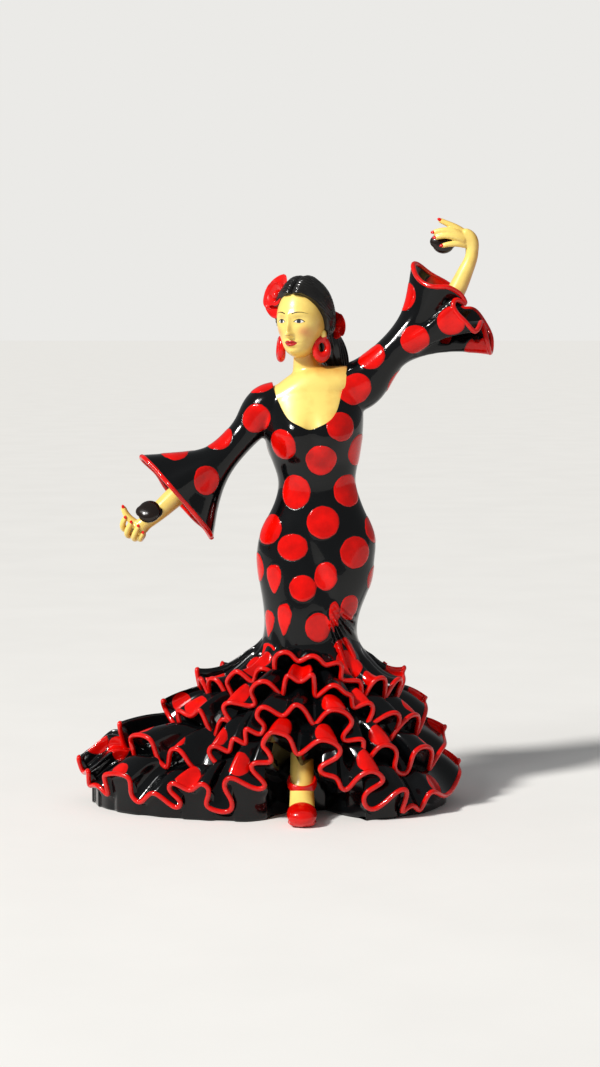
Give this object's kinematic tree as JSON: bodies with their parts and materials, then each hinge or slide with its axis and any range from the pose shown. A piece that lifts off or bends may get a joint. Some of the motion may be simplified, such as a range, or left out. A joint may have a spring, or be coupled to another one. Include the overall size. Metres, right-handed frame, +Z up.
{
  "type": "flamenco dancer figurine",
  "caption": "Glossy painted cast-resin figurine of a flamenco dancer in a ruffled polka-dot dress, arms out with castanets, standing on its hem.",
  "frame": {"origin": "underside of the felt pad, on the vertical axis through the dancer's waist", "axes": "+Z up from the table to the raised hand, -Y the way the dress faces, +X the dancer's left (the raised arm)"},
  "size_m": [0.2068, 0.131, 0.2972],
  "materials": {
    "black_enamel": "black gloss enamel on cast polyresin, with red polka dots and red rolled edges",
    "red_enamel": "red gloss enamel on cast polyresin",
    "skin_enamel": "warm yellow gloss enamel with ochre shading on cast polyresin",
    "hair_enamel": "black gloss enamel over combed relief",
    "castanet_enamel": "dark brown-black gloss enamel",
    "felt": "black felt",
    "pin_steel": "plain drawn wire"
  },
  "bodies": {
    "root": {"dress_body": "black_enamel", "skirt_core": "black_enamel", "top_flounce": "black_enamel", "second_flounce": "black_enamel", "third_flounce": "black_enamel", "hem_flounce": "black_enamel", "left_sleeve": "black_enamel", "right_sleeve": "black_enamel", "chest_and_neck": "skin_enamel", "head": "skin_enamel", "left_forearm_and_hand": "skin_enamel", "right_forearm_and_hand": "skin_enamel", "leg_and_foot": "skin_enamel", "shoe": "red_enamel", "side_flower": "red_enamel", "back_flower": "red_enamel", "left_earring": "red_enamel", "right_earring": "red_enamel", "hair_cap": "hair_enamel", "hair_tail": "hair_enamel", "left_castanet_front_shell": "castanet_enamel", "left_castanet_back_shell": "castanet_enamel", "right_castanet_front_shell": "castanet_enamel", "right_castanet_back_shell": "castanet_enamel", "felt_pad": "felt", "body_pin": "pin_steel", "neck_pin": "pin_steel", "left_shoulder_pin": "pin_steel", "right_shoulder_pin": "pin_steel", "left_arm_wire": "pin_steel", "right_arm_wire": "pin_steel", "leg_pin": "pin_steel"}
  },
  "joints": []
}
